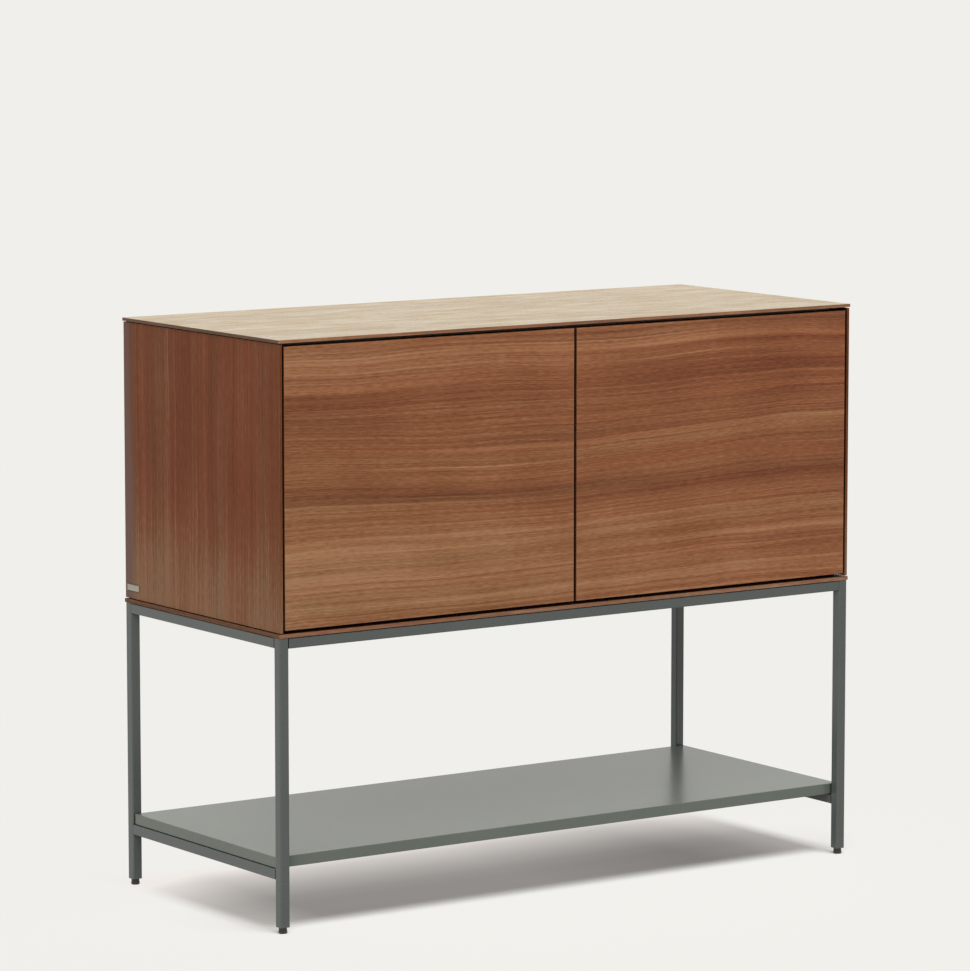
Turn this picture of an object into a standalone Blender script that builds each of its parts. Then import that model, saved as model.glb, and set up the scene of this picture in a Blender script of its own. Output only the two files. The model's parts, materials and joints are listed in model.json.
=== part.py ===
"""Two-door walnut sideboard on a painted steel frame, with a folded steel shelf under it.

Metres, +Z up, front towards -Y. The origin is on the floor, under the middle of the piece.
Places across the width are measured inwards from the case's nearer end, and places in depth
backwards from its front, so the left and right halves share every size.
"""

import math

import bmesh
import bpy
from mathutils import Vector

# Fits: the gap between pieces that touch, and how far a cutter runs past a surface
seat_gap = 0.0003
overcut = 0.001

# Case
case_width = 1.000
case_depth = 0.420
case_height = 0.4127
panel_thickness = 0.018
top_lip = 0.0045
bottom_lip = 0.0055
side_lip = 0.004
side_setback = 0.002
shadow_groove_height = 0.0012
shadow_groove_depth = 0.005
board_arris = 0.0003
divider_thickness = 0.016
back_thickness = 0.005
back_recess = 0.008
back_side_lip = 0.008

# Doors
door_thickness = 0.018
door_side_gap = 0.0035
door_end_gap = 0.005
door_meeting_gap = 0.0045
swing_clearance = 0.0008

# Inner shelves and their pins
inner_shelf_thickness = 0.016
inner_shelf_end_gap = 0.002
inner_shelf_front = 0.060
inner_shelf_back_gap = 0.004
shelf_pin_radius = 0.0025
shelf_pin_collar_radius = 0.004
shelf_pin_collar_thickness = 0.0012
shelf_pin_reach = 0.008
shelf_pin_depth = 0.006
shelf_pin_hole_pitch = 0.032
shelf_pin_front_row = 0.110
shelf_pin_back_row = 0.360

# Concealed hinges: the pivot lies inside the door, near its outer front corner
hinge_pivot_inset = 0.0125
hinge_pivot_depth = 0.0085
hinge_end_distance = 0.080
cup_radius = 0.0175
cup_edge_distance = 0.004
cup_depth = 0.013
cup_wall = 0.0008
cup_rim_radius = 0.019
cup_flange_thickness = 0.0012
cup_wing_length = 0.062
cup_wing_width = 0.014
cheek_thickness = 0.0014
cheek_half_width = 0.003
hinge_pin_radius = 0.001
hinge_pin_overhang = 0.001
knuckle_radius = 0.002
neck_width = 0.008
neck_thickness = 0.0016
neck_reach = 0.016
neck_bend_radius = 0.004
neck_height = 0.019
arm_width = 0.014
arm_length = 0.054
arm_height = 0.009
arm_wall = 0.0015
arm_front = 0.0405
hinge_plate_thickness = 0.003
hinge_plate_width = 0.014
hinge_plate_wing_length = 0.048
hinge_plate_wing_width = 0.013
hinge_rail_height = 0.006
hinge_rail_play = 0.0006

# Push latches
latch_offset = 0.032
latch_body_width = 0.014
latch_body_height = 0.013
latch_body_length = 0.066
latch_plate_width = 0.026
latch_plate_length = 0.040
latch_plate_thickness = 0.002
latch_nose_clearance = 0.0045
plunger_radius = 0.004
plunger_tip_radius = 0.0032
plunger_length = 0.026
plunger_stroke = 0.0025
strike_radius = 0.007
strike_thickness = 0.0012

# Steel frame
tube_size = 0.015
tube_wall = 0.0015
tube_corner_radius = 0.002
frame_setback = 0.001
frame_height = 0.415
leg_end_plate = 0.003
lower_bar_top = 0.090

# Feet
foot_height = 0.0088
foot_radius = 0.0062
foot_pad_height = 0.0046
foot_collar_radius = 0.0058
foot_stud_radius = 0.003
foot_stud_reach = 0.015
foot_chamfer = 0.0006

# Steel shelf
steel_shelf_fold = 0.0157
steel_shelf_sheet = 0.0015
steel_shelf_bend = 0.001
steel_shelf_return = 0.012
steel_shelf_end_setback = 0.0026
steel_shelf_leg_gap = 0.0012

# Screws that hold the case to the frame, with their heads inside the side rails
case_screw_spread = 0.260
case_screw_radius = 0.0025
case_screw_head_radius = 0.0045
case_screw_head_height = 0.0024
case_screw_bite = 0.012
case_screw_access_play = 0.0005

# Places that follow from the sizes
case_bottom = frame_height + seat_gap
case_top = case_bottom + case_height
side_inner_face = side_setback + panel_thickness
door_outer_edge = side_setback + side_lip + door_side_gap
door_low = case_bottom + bottom_lip + door_end_gap
door_high = case_top - top_lip - door_end_gap
bottom_inner_face = case_bottom + panel_thickness
top_inner_face = case_top - panel_thickness
back_inner_face = case_depth - back_recess

pivot_across = door_outer_edge + hinge_pivot_inset
door_back_reach = math.hypot(hinge_pivot_inset, door_thickness - hinge_pivot_depth)
door_rebate_depth = hinge_pivot_depth + door_back_reach + swing_clearance
hinge_levels = {
    "lower": door_low + hinge_end_distance,
    "upper": door_high - hinge_end_distance,
}
cup_across = door_outer_edge + cup_edge_distance + cup_radius
cheek_inner_face = neck_width / 2 + 2 * seat_gap
cheek_outer_face = cheek_inner_face + cheek_thickness

shelf_pin_level = (bottom_inner_face + top_inner_face - inner_shelf_thickness) / 2
inner_shelf_low = shelf_pin_level + shelf_pin_radius + seat_gap

latch_level = top_inner_face - seat_gap - latch_plate_thickness - latch_body_height / 2
strike_back = door_thickness + seat_gap + strike_thickness
plunger_tip = strike_back + seat_gap
latch_front = plunger_tip + latch_nose_clearance

leg_centre_across = frame_setback + tube_size / 2
leg_inner_face = frame_setback + tube_size

# Collections: the pieces of the sideboard, and the shapes that cut or extend them
scene = bpy.context.scene
for leftover in list(scene.objects):
    bpy.data.objects.remove(leftover, do_unlink=True)
pieces = bpy.data.collections.new("sideboard")
cutters = bpy.data.collections.new("sideboard_cutters")
scene.collection.children.link(pieces)
scene.collection.children.link(cutters)


def finish(name, colour, roughness, metallic=0.0):
    """A plain finish: base colour, roughness and metallic value."""
    look = bpy.data.materials.new(name)
    look.use_nodes = True
    shader = look.node_tree.nodes["Principled BSDF"]
    shader.inputs["Base Color"].default_value = (*colour, 1.0)
    shader.inputs["Roughness"].default_value = roughness
    shader.inputs["Metallic"].default_value = metallic
    return look


walnut_door = finish("walnut_door", (0.262, 0.108, 0.050), 0.42)
walnut_side = finish("walnut_side", (0.168, 0.066, 0.034), 0.42)
walnut_top = finish("walnut_top", (0.300, 0.150, 0.080), 0.38)
walnut_inside = finish("walnut_inside", (0.240, 0.105, 0.052), 0.50)
painted_steel = finish("painted_steel", (0.098, 0.115, 0.108), 0.48)
hinge_steel = finish("hinge_steel", (0.560, 0.550, 0.530), 0.32, 1.0)
screw_steel = finish("screw_steel", (0.420, 0.420, 0.420), 0.35, 1.0)
latch_plastic = finish("latch_plastic", (0.070, 0.070, 0.072), 0.50)
plunger_plastic = finish("plunger_plastic", (0.600, 0.600, 0.590), 0.45)
foot_plastic = finish("foot_plastic", (0.020, 0.020, 0.021), 0.55)


def across(side, inwards):
    """The x place that lies the given distance inwards from the case's end on that side."""
    return side * (case_width / 2 - inwards)


def behind(backwards):
    """The y place that lies the given distance behind the case's front."""
    return backwards - case_depth / 2


def shade(mesh):
    """Round faces shaded smooth, with their real edges kept sharp."""
    mesh.shade_smooth()
    mesh.set_sharp_from_angle(angle=math.radians(35))


def place(name, mesh, location, look):
    """An object in the sideboard's collection, or among the cutters where it has no finish."""
    piece = bpy.data.objects.new(name, mesh)
    piece.location = location
    if look is None:
        piece.hide_render = True
        piece.display_type = "WIRE"
        cutters.objects.link(piece)
    else:
        mesh.materials.append(look)
        pieces.objects.link(piece)
    return piece


def turn_to(piece, axis):
    """Turns a piece so that its own +Z points along the axis."""
    piece.rotation_euler = Vector((0, 0, 1)).rotation_difference(Vector(axis)).to_euler()


def block(name, x, y, z, look=None, arris=0.0):
    """A rectangular board between two places on each axis, with its edges broken by the arris."""
    low = Vector((min(x), min(y), min(z)))
    high = Vector((max(x), max(y), max(z)))
    shape = bmesh.new()
    bmesh.ops.create_cube(shape, size=1.0)
    bmesh.ops.scale(shape, vec=high - low, verts=shape.verts)
    if arris:
        bmesh.ops.bevel(shape, geom=shape.edges[:], offset=arris, segments=1, affect="EDGES")
    mesh = bpy.data.meshes.new(name)
    shape.to_mesh(mesh)
    shape.free()
    return place(name, mesh, (low + high) / 2, look)


def rod(name, centre, radius, length, axis, look=None, sides=24):
    """A plain cylinder about its centre."""
    shape = bmesh.new()
    bmesh.ops.create_cone(shape, cap_ends=True, segments=sides, radius1=radius, radius2=radius, depth=length)
    mesh = bpy.data.meshes.new(name)
    shape.to_mesh(mesh)
    shape.free()
    shade(mesh)
    piece = place(name, mesh, centre, look)
    turn_to(piece, axis)
    return piece


def turned(name, profile, origin, axis, look=None, steps=24):
    """A turned piece: (radius, height) points down the outer side, from the axis to the axis."""
    shape = bmesh.new()
    points = [shape.verts.new((radius, 0.0, height)) for radius, height in profile]
    for start, end in zip(points, points[1:]):
        shape.edges.new((start, end))
    mesh = bpy.data.meshes.new(name)
    shape.to_mesh(mesh)
    shape.free()
    piece = place(name, mesh, origin, look)
    turn_to(piece, axis)
    spin = piece.modifiers.new("turn", "SCREW")
    spin.axis = "Z"
    spin.steps = steps
    spin.render_steps = steps
    spin.use_merge_vertices = True
    spin.merge_threshold = 0.00001
    spin.use_smooth_shade = True
    return piece


def outline_solid(name, outlines, thickness, centre, axis, look=None):
    """A flat outline with any holes, made thick about its centre along the axis."""
    curve = bpy.data.curves.new(name, "CURVE")
    curve.dimensions = "2D"
    curve.fill_mode = "BOTH"
    curve.extrude = thickness / 2
    for outline in outlines:
        spline = curve.splines.new("POLY")
        spline.points.add(len(outline) - 1)
        for point, (first, second) in zip(spline.points, outline):
            point.co = (first, second, 0.0, 1.0)
        spline.use_cyclic_u = True
    drawn = bpy.data.objects.new(name + "_outline", curve)
    cutters.objects.link(drawn)
    depsgraph = bpy.context.evaluated_depsgraph_get()
    mesh = bpy.data.meshes.new_from_object(drawn.evaluated_get(depsgraph))
    bpy.data.objects.remove(drawn, do_unlink=True)
    shape = bmesh.new()
    shape.from_mesh(mesh)
    bmesh.ops.remove_doubles(shape, verts=shape.verts, dist=0.00001)
    bmesh.ops.recalc_face_normals(shape, faces=shape.faces)
    shape.to_mesh(mesh)
    shape.free()
    shade(mesh)
    mesh.name = name
    mesh.materials.clear()
    piece = place(name, mesh, centre, look)
    turn_to(piece, axis)
    return piece


def arc(centre, radius, start, end, steps):
    """Points along an arc, with its angles in degrees."""
    points = []
    for step in range(steps + 1):
        angle = math.radians(start + (end - start) * step / steps)
        points.append((centre[0] + radius * math.cos(angle), centre[1] + radius * math.sin(angle)))
    return points


def rounded_rectangle(width, height, radius, steps=4):
    """The outline of a rectangle with round corners, about its centre."""
    outline = []
    for number, (right, upper) in enumerate(((1, 1), (-1, 1), (-1, -1), (1, -1))):
        corner = (right * (width / 2 - radius), upper * (height / 2 - radius))
        outline += arc(corner, radius, 90 * number, 90 * number + 90, steps)
    return outline


def shape_with(piece, tool, operation):
    """Cuts a piece with another shape, or joins that shape to it."""
    change = piece.modifiers.new(tool.name, "BOOLEAN")
    change.operation = operation
    change.solver = "EXACT"
    change.object = tool


def cut(piece, tool):
    """Takes the tool's shape away from the piece."""
    shape_with(piece, tool, "DIFFERENCE")


def extend(piece, tool):
    """Adds the tool's shape to the piece."""
    shape_with(piece, tool, "UNION")


def pivot(name, place_on_axis):
    """An empty on a joint's axis, which carries the pieces that move about it."""
    carrier = bpy.data.objects.new(name, None)
    carrier.location = place_on_axis
    carrier.empty_display_size = 0.02
    pieces.objects.link(carrier)
    return carrier


def carry(carrier, *moving):
    """Parents pieces to a carrier without moving them."""
    for piece in moving:
        piece.parent = carrier
        piece.location = piece.location - carrier.location


def tube(name, length, centre, axis):
    """A length of square tube with rounded corners, open at both ends."""
    bore = tube_size - 2 * tube_wall
    bore_radius = max(tube_corner_radius - tube_wall, 0.0002)
    section = [
        rounded_rectangle(tube_size, tube_size, tube_corner_radius),
        rounded_rectangle(bore, bore, bore_radius, steps=1),
    ]
    return outline_solid(name, section, length, centre, axis, painted_steel)


def cap_panel(name, outer_face, lip_face, inner_face, look):
    """The top or the bottom: a thin lip all round, and behind it a thick middle between the sides.

    Rebates leave the lip over the side panels' ends, before the doors and over the back panel.
    """
    ends = (across(-1, 0), across(1, 0))
    depth = (behind(0), behind(case_depth))
    panel = block(name, ends, depth, (outer_face, inner_face), look, board_arris)
    beyond = inner_face + math.copysign(overcut, inner_face - outer_face)
    levels = (lip_face, beyond)
    past_ends = (ends[0] - overcut, ends[1] + overcut)
    past_depth = (depth[0] - overcut, depth[1] + overcut)
    door_rebate = (behind(-overcut), behind(door_rebate_depth))
    back_rebate = (behind(back_inner_face), behind(case_depth + overcut))
    cut(panel, block(name + "_door_rebate", past_ends, door_rebate, levels))
    cut(panel, block(name + "_back_rebate", past_ends, back_rebate, levels))
    for side, label in ((-1, "left"), (1, "right")):
        rabbet = (across(side, -overcut), across(side, side_inner_face + seat_gap))
        cut(panel, block(f"{name}_{label}_rabbet", rabbet, past_depth, levels))
    return panel


def side_panel(side, label):
    """A side: thin at the front where the door closes beside it, rebated for the back panel."""
    outer = side_setback
    inner = side_inner_face
    plan = [
        (outer, 0),
        (outer + side_lip, 0),
        (outer + side_lip, door_rebate_depth),
        (inner, door_rebate_depth),
        (inner, back_inner_face),
        (outer + back_side_lip, back_inner_face),
        (outer + back_side_lip, case_depth),
        (outer, case_depth),
    ]
    outline = [(across(side, inwards), behind(backwards)) for inwards, backwards in plan]
    low = case_bottom + bottom_lip + seat_gap
    high = case_top - top_lip - seat_gap
    name = f"{label}_side_panel"
    panel = outline_solid(name, [outline], high - low, (0, 0, (low + high) / 2), (0, 0, 1), walnut_side)
    groove_across = (across(side, outer - overcut), across(side, outer + shadow_groove_depth))
    groove_depth = (behind(-overcut), behind(case_depth + overcut))
    grooves = {"lower": (low - overcut, low + shadow_groove_height),
               "upper": (high - shadow_groove_height, high + overcut)}
    for level, heights in grooves.items():
        cut(panel, block(f"{name}_{level}_groove", groove_across, groove_depth, heights))
    return panel


def bore_pin_holes(panel, face, direction):
    """Rows of shelf-pin holes in a face; the pins point along x in the given direction."""
    depth = shelf_pin_depth + seat_gap
    centre = face - direction * (depth - overcut) / 2
    for row, backwards in (("front", shelf_pin_front_row), ("back", shelf_pin_back_row)):
        for step in (-1, 0, 1):
            level = shelf_pin_level + step * shelf_pin_hole_pitch
            hole_place = (centre, behind(backwards), level)
            label = f"{panel.name}_{row}_hole_{'left' if direction < 0 else 'right'}_{step + 2}"
            hole = rod(label, hole_place, shelf_pin_radius + seat_gap, depth + overcut, (1, 0, 0), sides=12)
            cut(panel, hole)


def shelf_pin(name, face, direction, backwards):
    """A turned pin: a shank in the panel, a collar against its face and a peg under the shelf."""
    chamfer = shelf_pin_radius / 5
    collar_start = seat_gap
    collar_end = collar_start + shelf_pin_collar_thickness
    profile = [
        (0, shelf_pin_reach),
        (shelf_pin_radius - chamfer, shelf_pin_reach),
        (shelf_pin_radius, shelf_pin_reach - chamfer),
        (shelf_pin_radius, collar_end),
        (shelf_pin_collar_radius, collar_end),
        (shelf_pin_collar_radius, collar_start),
        (shelf_pin_radius, collar_start),
        (shelf_pin_radius, chamfer - shelf_pin_depth),
        (shelf_pin_radius - chamfer, -shelf_pin_depth),
        (0, -shelf_pin_depth),
    ]
    origin = (face, behind(backwards), shelf_pin_level)
    return turned(name, profile, origin, (direction, 0, 0), hinge_steel, steps=12)


def inner_shelf(side, label):
    """A loose shelf between a side and the divider, and the four pins under it."""
    divider_face = case_width / 2 - divider_thickness / 2
    width = (across(side, side_inner_face + inner_shelf_end_gap),
             across(side, divider_face - inner_shelf_end_gap))
    depth = (behind(inner_shelf_front), behind(back_inner_face - inner_shelf_back_gap))
    levels = (inner_shelf_low, inner_shelf_low + inner_shelf_thickness)
    block(f"{label}_inner_shelf", width, depth, levels, walnut_inside, board_arris)
    for row, backwards in (("front", shelf_pin_front_row), ("back", shelf_pin_back_row)):
        shelf_pin(f"{label}_outer_{row}_shelf_pin", across(side, side_inner_face), -side, backwards)
        shelf_pin(f"{label}_inner_{row}_shelf_pin", across(side, divider_face), side, backwards)


def door(side, label):
    """A door with a blind bore in its back for each hinge cup."""
    width = (across(side, door_outer_edge), side * door_meeting_gap / 2)
    panel = block(f"{label}_door", width, (behind(0), behind(door_thickness)), (door_low, door_high),
                  walnut_door, board_arris)
    bore_middle = door_thickness - cup_depth / 2 + overcut / 2
    for level, height in hinge_levels.items():
        centre = (across(side, cup_across), behind(bore_middle), height)
        bore = rod(f"{label}_{level}_cup_bore", centre, cup_radius + seat_gap, cup_depth + overcut,
                   (0, 1, 0), sides=40)
        cut(panel, bore)
    return panel


def hinge_cup(side, name, height):
    """A cup let into the door, with a flange on the door's back and two cheeks that hold the pin."""
    flange_face = seat_gap + cup_flange_thickness
    floor = seat_gap - cup_depth
    bore_radius = cup_radius - cup_wall
    profile = [
        (0, floor + cup_wall),
        (bore_radius, floor + cup_wall),
        (bore_radius, flange_face),
        (cup_rim_radius, flange_face),
        (cup_rim_radius, seat_gap),
        (cup_radius, seat_gap),
        (cup_radius, floor),
        (0, floor),
    ]
    origin = Vector((across(side, cup_across), behind(door_thickness), height))
    cup = turned(name, profile, origin, (0, 1, 0), hinge_steel, steps=40)

    wing_plan = [rounded_rectangle(cup_wing_width, cup_wing_length, cup_wing_width / 3)]
    wing_centre = origin + Vector((0, seat_gap + cup_flange_thickness / 2, 0))
    wings = outline_solid(name + "_wings", wing_plan, cup_flange_thickness, wing_centre, (0, 1, 0))
    mouth = rod(name + "_mouth", wing_centre, bore_radius + cup_wall / 2, 4 * cup_flange_thickness,
                (0, 1, 0), sides=40)
    cut(wings, mouth)
    extend(cup, wings)

    pivot_x = across(side, pivot_across)
    cheek_x = (pivot_x - cheek_half_width, pivot_x + cheek_half_width)
    cheek_root = door_thickness - cup_depth + cup_wall / 2 + seat_gap
    cheek_y = (behind(cheek_root), behind(hinge_pivot_depth + cheek_half_width))
    for level, up in (("lower", -1), ("upper", 1)):
        cheek_z = (height + up * cheek_inner_face, height + up * cheek_outer_face)
        extend(cup, block(f"{name}_{level}_cheek", cheek_x, cheek_y, cheek_z))
    pin_place = (pivot_x, behind(hinge_pivot_depth), height)
    pin_hole_length = 2 * cheek_outer_face + 2 * overcut
    cut(cup, rod(name + "_pin_hole", pin_place, hinge_pin_radius + seat_gap, pin_hole_length,
                 (0, 0, 1), sides=12))
    return cup


def neck_outline():
    """The bent neck seen from above, from the pivot out of the cup and back to the arm.

    The first number is inwards from the pivot and the second is backwards from it.
    """
    web = arm_web_across()
    half = neck_thickness / 2
    bend = neck_bend_radius
    slope_start = (neck_reach, neck_height)
    slope_end = (web, arm_front - hinge_pivot_depth)
    slope = math.degrees(math.atan2(slope_end[1] - slope_start[1], slope_end[0] - slope_start[0]))
    lean = slope - 90
    knee = bend * math.tan(math.radians(lean) / 2)
    heel = bend_points((neck_reach - bend, bend), bend, 0, 90)
    shoulder = bend_points((neck_reach - bend, neck_height - knee), bend, 90, 90 + lean)
    middle = [((0, 0), 90)]
    middle += [(point, 90 + turn) for point, turn in heel + shoulder]
    middle += [((slope_end[0], slope_end[1] - half), 180 + lean), ((web, slope_end[1] + 3 * arm_wall), 180)]
    left = []
    right = []
    for (inwards, backwards), normal in middle:
        step = (half * math.cos(math.radians(normal)), half * math.sin(math.radians(normal)))
        left.append((inwards + step[0], backwards + step[1]))
        right.append((inwards - step[0], backwards - step[1]))
    return left + right[::-1]


def bend_points(centre, radius, start, end, steps=4):
    """Points round a bend of the neck, each with the direction that the neck has there."""
    turns = [start + (end - start) * step / steps for step in range(steps + 1)]
    points = []
    for turn in turns:
        angle = math.radians(turn - 90)
        points.append(((centre[0] + radius * math.cos(angle), centre[1] + radius * math.sin(angle)), turn))
    return points


def arm_web_across():
    """How far inwards from the pivot the middle of the arm's web lies."""
    arm_base = side_inner_face + 2 * seat_gap + hinge_plate_thickness
    return arm_base + arm_height - arm_wall / 2 - pivot_across


def hinge_arm(side, name, height):
    """A channel over the mounting plate, with a bent neck that reaches into the cup to the pivot."""
    base = side_inner_face + 2 * seat_gap + hinge_plate_thickness
    arm_back = arm_front + arm_length
    half = arm_width / 2
    arm = block(name, (across(side, base), across(side, base + arm_height)),
                (behind(arm_front), behind(arm_back)), (height - half, height + half),
                hinge_steel, 2 * board_arris)
    hollow_across = (across(side, base - overcut), across(side, base + arm_height - arm_wall))
    hollow_depth = (behind(arm_front + arm_wall), behind(arm_back - arm_wall))
    hollow_level = (height - half + arm_wall, height + half - arm_wall)
    cut(arm, block(name + "_hollow", hollow_across, hollow_depth, hollow_level))

    pivot_place = Vector((across(side, pivot_across), behind(hinge_pivot_depth), height))
    outline = [(-side * inwards, backwards) for inwards, backwards in neck_outline()]
    neck = outline_solid(name + "_neck", [outline], neck_width, pivot_place, (0, 0, 1))
    extend(arm, neck)
    extend(arm, rod(name + "_knuckle", pivot_place, knuckle_radius, neck_width, (0, 0, 1), sides=20))
    cut(arm, rod(name + "_pin_room", pivot_place, hinge_pin_radius + seat_gap, neck_width + 2 * overcut,
                 (0, 0, 1), sides=12))
    return arm


def hinge_plate(side, name, height):
    """The mounting plate on the side panel: a long foot, two wings and a rail inside the arm."""
    base = side_inner_face + seat_gap
    top = base + hinge_plate_thickness
    middle = arm_front + arm_length / 2
    foot = rounded_rectangle(arm_length - 2 * arm_wall, hinge_plate_width, hinge_plate_width / 4)
    centre = Vector((across(side, (base + top) / 2), behind(middle), height))
    foot_plan = [(across_z, along) for along, across_z in foot]
    plate = outline_solid(name, [foot_plan], hinge_plate_thickness, centre, (1, 0, 0), hinge_steel)
    wings = rounded_rectangle(hinge_plate_wing_length, hinge_plate_wing_width, hinge_plate_wing_width / 3)
    extend(plate, outline_solid(name + "_wings", [wings], hinge_plate_thickness, centre, (1, 0, 0)))
    rail_half_length = arm_length / 2 - arm_wall - hinge_rail_play
    rail_half_width = arm_width / 2 - arm_wall - hinge_rail_play
    rail_across = (across(side, top - hinge_plate_thickness / 2), across(side, top + hinge_rail_height))
    rail_depth = (behind(middle - rail_half_length), behind(middle + rail_half_length))
    rail_levels = (height - rail_half_width, height + rail_half_width)
    extend(plate, block(name + "_rail", rail_across, rail_depth, rail_levels))
    return plate


def hinge_pin(side, name, height):
    """The pin through the cup's cheeks and the arm's knuckle."""
    length = 2 * (cheek_outer_face + hinge_pin_overhang)
    centre = (across(side, pivot_across), behind(hinge_pivot_depth), height)
    return rod(name, centre, hinge_pin_radius, length, (0, 0, 1), hinge_steel, sides=12)


def latch(side, label):
    """A push latch under the top: a bored housing, and the plunger that the door presses."""
    middle = side * latch_offset
    body_low = latch_level - latch_body_height / 2
    body_high = latch_level + latch_body_height / 2 + latch_plate_thickness / 2
    body = block(f"{label}_latch_housing", (middle - latch_body_width / 2, middle + latch_body_width / 2),
                 (behind(latch_front), behind(latch_front + latch_body_length)), (body_low, body_high),
                 latch_plastic, 3 * board_arris)
    plate_plan = [rounded_rectangle(latch_plate_width, latch_plate_length, latch_plate_width / 6)]
    plate_level = top_inner_face - seat_gap - latch_plate_thickness / 2
    plate_centre = (middle, behind(latch_front + latch_body_length / 2), plate_level)
    extend(body, outline_solid(f"{label}_latch_plate", plate_plan, latch_plate_thickness, plate_centre,
                               (0, 0, 1)))
    bore_end = plunger_tip + plunger_length + plunger_stroke + 2 * seat_gap
    bore_length = bore_end - latch_front + overcut
    bore_centre = (middle, behind(bore_end - bore_length / 2), latch_level)
    cut(body, rod(f"{label}_latch_bore", bore_centre, plunger_radius + seat_gap, bore_length, (0, 1, 0)))

    origin = (middle, behind(plunger_tip), latch_level)
    dome = plunger_tip_radius / 3
    shoulder = latch_nose_clearance - plunger_stroke / 4
    profile = [
        (0, plunger_length),
        (plunger_radius - dome, plunger_length),
        (plunger_radius, plunger_length - dome),
        (plunger_radius, shoulder + latch_nose_clearance / 2),
        (plunger_tip_radius, shoulder),
        (plunger_tip_radius, dome),
        (plunger_tip_radius - dome, 0),
        (0, 0),
    ]
    turned(f"{label}_latch_plunger", profile, origin, (0, 1, 0), plunger_plastic)


def strike_plate(side, label):
    """The small round plate on the door's back that the plunger meets."""
    origin = (side * latch_offset, behind(door_thickness + seat_gap), latch_level)
    edge = strike_thickness / 3
    profile = [
        (0, strike_thickness),
        (strike_radius - edge, strike_thickness),
        (strike_radius, strike_thickness - edge),
        (strike_radius, 0),
        (0, 0),
    ]
    return turned(f"{label}_strike_plate", profile, origin, (0, 1, 0), screw_steel, steps=32)


def leg(side, front, name):
    """A leg: a tube whose lower end is closed by a plate with a hole for the foot's stud."""
    centre = leg_place(side, front)
    length = frame_height - foot_height
    upright = outline_solid(name, [rounded_rectangle(tube_size, tube_size, tube_corner_radius)], length,
                            (centre[0], centre[1], foot_height + length / 2), (0, 0, 1), painted_steel)
    half_bore = tube_size / 2 - tube_wall
    cut(upright, block(name + "_bore", (centre[0] - half_bore, centre[0] + half_bore),
                       (centre[1] - half_bore, centre[1] + half_bore),
                       (foot_height + leg_end_plate, frame_height + overcut)))
    hole_length = leg_end_plate + 2 * overcut
    hole_centre = (centre[0], centre[1], foot_height + leg_end_plate / 2)
    cut(upright, rod(name + "_stud_hole", hole_centre, foot_stud_radius + seat_gap, hole_length,
                     (0, 0, 1), sides=20))
    return upright


def leg_place(side, front):
    """The middle of a leg in plan."""
    return (across(side, leg_centre_across), front * (case_depth / 2 - leg_centre_across))


def foot(side, front, name):
    """A turned levelling foot: a pad on the floor, a collar under the leg and a stud inside it."""
    shank = foot_height - seat_gap
    profile = [
        (0, foot_height + foot_stud_reach),
        (foot_stud_radius - foot_chamfer, foot_height + foot_stud_reach),
        (foot_stud_radius, foot_height + foot_stud_reach - foot_chamfer),
        (foot_stud_radius, shank),
        (foot_collar_radius, shank),
        (foot_collar_radius, foot_pad_height),
        (foot_radius - foot_chamfer, foot_pad_height),
        (foot_radius, foot_pad_height - foot_chamfer),
        (foot_radius, foot_chamfer),
        (foot_radius - foot_chamfer, 0),
        (0, 0),
    ]
    return turned(name, profile, (*leg_place(side, front), 0), (0, 0, 1), foot_plastic)


def case_screw(side, front, name):
    """A screw from inside a side rail, up through the bottom's lip into the side panel."""
    head_top = frame_height - tube_wall - seat_gap
    shank_length = tube_wall + 3 * seat_gap + bottom_lip + case_screw_bite
    edge = case_screw_head_height / 3
    profile = [
        (0, shank_length),
        (case_screw_radius, shank_length - case_screw_radius),
        (case_screw_radius, 0),
        (case_screw_head_radius, 0),
        (case_screw_head_radius, edge - case_screw_head_height),
        (case_screw_head_radius - 2 * edge, -case_screw_head_height),
        (0, -case_screw_head_height),
    ]
    place_in_plan = (across(side, leg_centre_across), front * case_screw_spread / 2)
    return turned(name, profile, (*place_in_plan, head_top), (0, 0, 1), screw_steel, steps=16)


def bore_for_case_screws(piece, side, low, high, radius=case_screw_radius + seat_gap):
    """Round holes at both case screws of one side between two heights."""
    for front, label in ((-1, "front"), (1, "back")):
        centre = (across(side, leg_centre_across), front * case_screw_spread / 2, (low + high) / 2)
        hole = f"{piece.name}_{label}_{'left' if side < 0 else 'right'}_screw_hole"
        cut(piece, rod(hole, centre, radius, high - low, (0, 0, 1), sides=16))


def steel_shelf():
    """A sheet folded down on all four sides, with returns under its edges that lie on the bars."""
    low = lower_bar_top + seat_gap
    high = low + steel_shelf_fold
    half_width = case_width / 2 - frame_setback - steel_shelf_end_setback
    half_depth = case_depth / 2 - leg_inner_face - steel_shelf_leg_gap
    shelf = block("steel_shelf", (-half_width, half_width), (-half_depth, half_depth), (low, high),
                  painted_steel)
    bends = shelf.modifiers.new("bends", "BEVEL")
    bends.width = steel_shelf_bend
    bends.segments = 3
    bends.limit_method = "ANGLE"
    wall = steel_shelf_sheet
    inside_x = half_width - wall
    inside_y = half_depth - wall
    cut(shelf, block("steel_shelf_hollow", (-inside_x, inside_x), (-inside_y, inside_y),
                     (low + wall, high - wall)))
    open_x = half_width - steel_shelf_return
    open_y = half_depth - steel_shelf_return
    cut(shelf, block("steel_shelf_mouth", (-open_x, open_x), (-open_y, open_y),
                     (low - overcut, low + 2 * wall)))
    return shelf


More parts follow.
